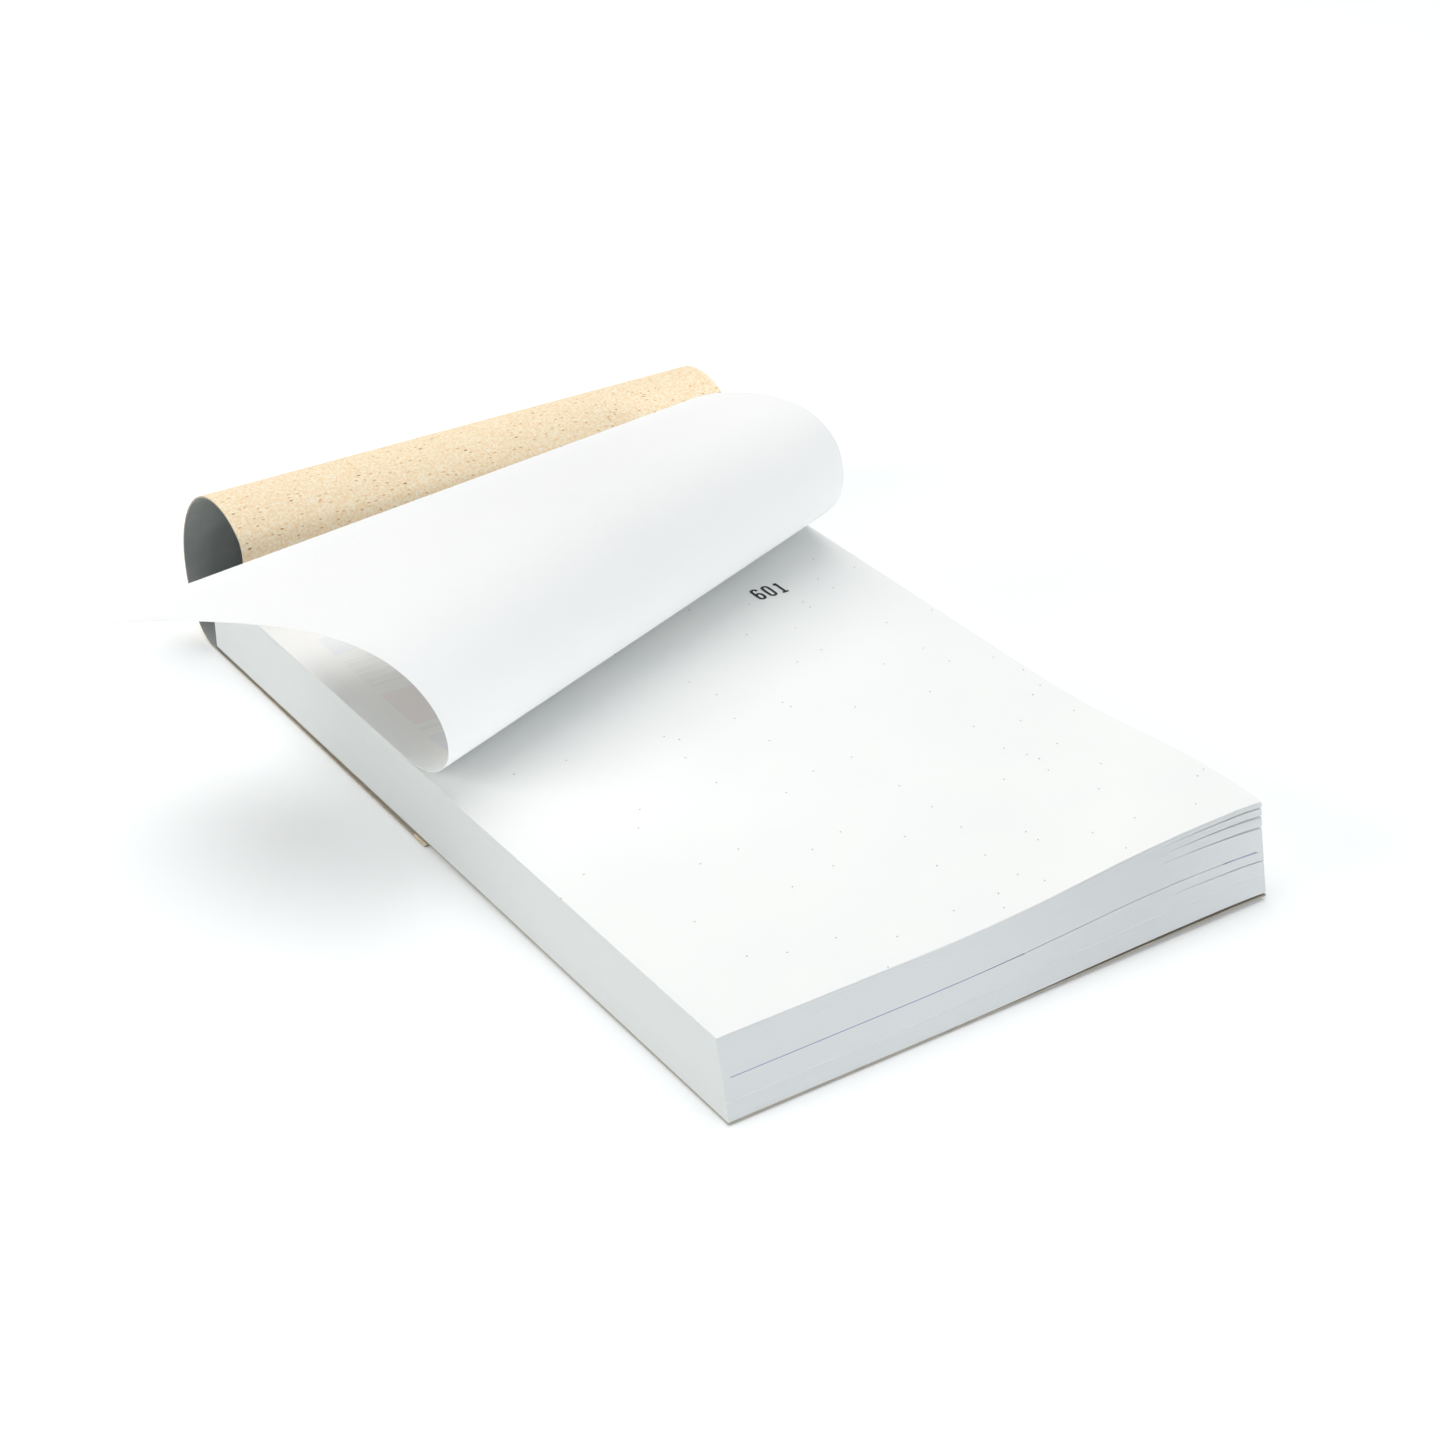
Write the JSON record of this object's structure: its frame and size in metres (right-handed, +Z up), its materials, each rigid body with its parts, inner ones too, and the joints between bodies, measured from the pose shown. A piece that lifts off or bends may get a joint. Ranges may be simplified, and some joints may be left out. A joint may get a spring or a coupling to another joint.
{
  "type": "duplicate receipt book",
  "caption": "Head-bound pad of numbered duplicate receipt leaves, lying open with its card cover turned round under it and its top original sheet rolled back.",
  "frame": {"origin": "middle of the head's lower edge, on the table, on the underside of the tucked cover", "axes": "+Y from the foot towards the head, +X across the page to the reader's right, +Z up from the table"},
  "size_m": [0.1452, 0.1813, 0.0473],
  "materials": {
    "leaf_paper": "matt uncoated white paper",
    "printed_paper": "matt white paper, plain outside and printed with a form inside",
    "cover_card": "flecked kraft card inside, slate grey outside",
    "backing_card": "plain grey card",
    "tape": "navy binding tape",
    "staple_wire": "bare flattened wire",
    "carbon": "blue carbon paper"
  },
  "bodies": {
    "cover": {"cover_flap": "cover_card", "cover_loop": "cover_card"},
    "pad": {"backing_board": "backing_card", "spine_tape": "tape", "staples": "staple_wire", "cover_binding_edge": "cover_card", "bound_stubs": "leaf_paper", "leaves_697_700": "leaf_paper", "leaves_693_696": "leaf_paper", "leaves_689_692": "leaf_paper", "leaves_685_688": "leaf_paper", "leaves_681_684": "leaf_paper", "leaves_677_680": "leaf_paper", "leaves_673_676": "leaf_paper", "leaves_669_672": "leaf_paper", "leaves_665_668": "leaf_paper", "leaves_661_664": "leaf_paper", "leaves_657_660": "leaf_paper", "leaves_653_656": "leaf_paper", "leaves_649_652": "leaf_paper", "leaves_645_648": "leaf_paper", "leaves_641_644": "leaf_paper", "leaves_637_640": "leaf_paper", "leaves_633_636": "leaf_paper", "leaves_629_632": "leaf_paper", "leaves_625_628": "leaf_paper", "leaves_621_624": "leaf_paper", "leaves_617_620": "leaf_paper", "leaves_613_616": "leaf_paper"},
    "set_601": {"duplicate_601": "leaf_paper", "original_601": "printed_paper"},
    "leaves_upper": {"leaves_602_604": "leaf_paper"},
    "leaves_middle": {"leaves_605_608": "leaf_paper"},
    "leaves_lower": {"leaves_609_612": "leaf_paper"},
    "carbon": {"carbon_sheet": "carbon"}
  },
  "joints": [
    {"name": "pad_turn", "type": "hinge", "parent": "cover", "child": "pad", "pos_m": [0, 0, 0.00085], "axis": [-1, 0, 0], "range_deg": [0, 45], "deforming": ["cover_loop"]},
    {"name": "leaf_turn", "type": "hinge", "parent": "pad", "child": "set_601", "pos_m": [0, -0.01526, 0.01428], "axis": [-1, 0, 0], "range_deg": [0, 50], "deforming": ["original_601"]},
    {"name": "upper_turn", "type": "hinge", "parent": "pad", "child": "leaves_upper", "pos_m": [0, -0.01526, 0.01428], "axis": [-1, 0, 0], "range_deg": [0, 35]},
    {"name": "middle_turn", "type": "hinge", "parent": "pad", "child": "leaves_middle", "pos_m": [0, -0.01526, 0.01428], "axis": [-1, 0, 0], "range_deg": [0, 22.5]},
    {"name": "lower_turn", "type": "hinge", "parent": "pad", "child": "leaves_lower", "pos_m": [0, -0.01526, 0.01428], "axis": [-1, 0, 0], "range_deg": [0, 11]},
    {"name": "carbon_slide", "type": "slide", "parent": "pad", "child": "carbon", "axis": [0, -1, 0], "range_m": [0, 0.12], "deforming": ["carbon_sheet"]}
  ],
  "couplings": [
    {"joint": "upper_turn", "follows": "leaf_turn", "ratio": 0.7},
    {"joint": "middle_turn", "follows": "leaf_turn", "ratio": 0.45},
    {"joint": "lower_turn", "follows": "leaf_turn", "ratio": 0.22}
  ]
}
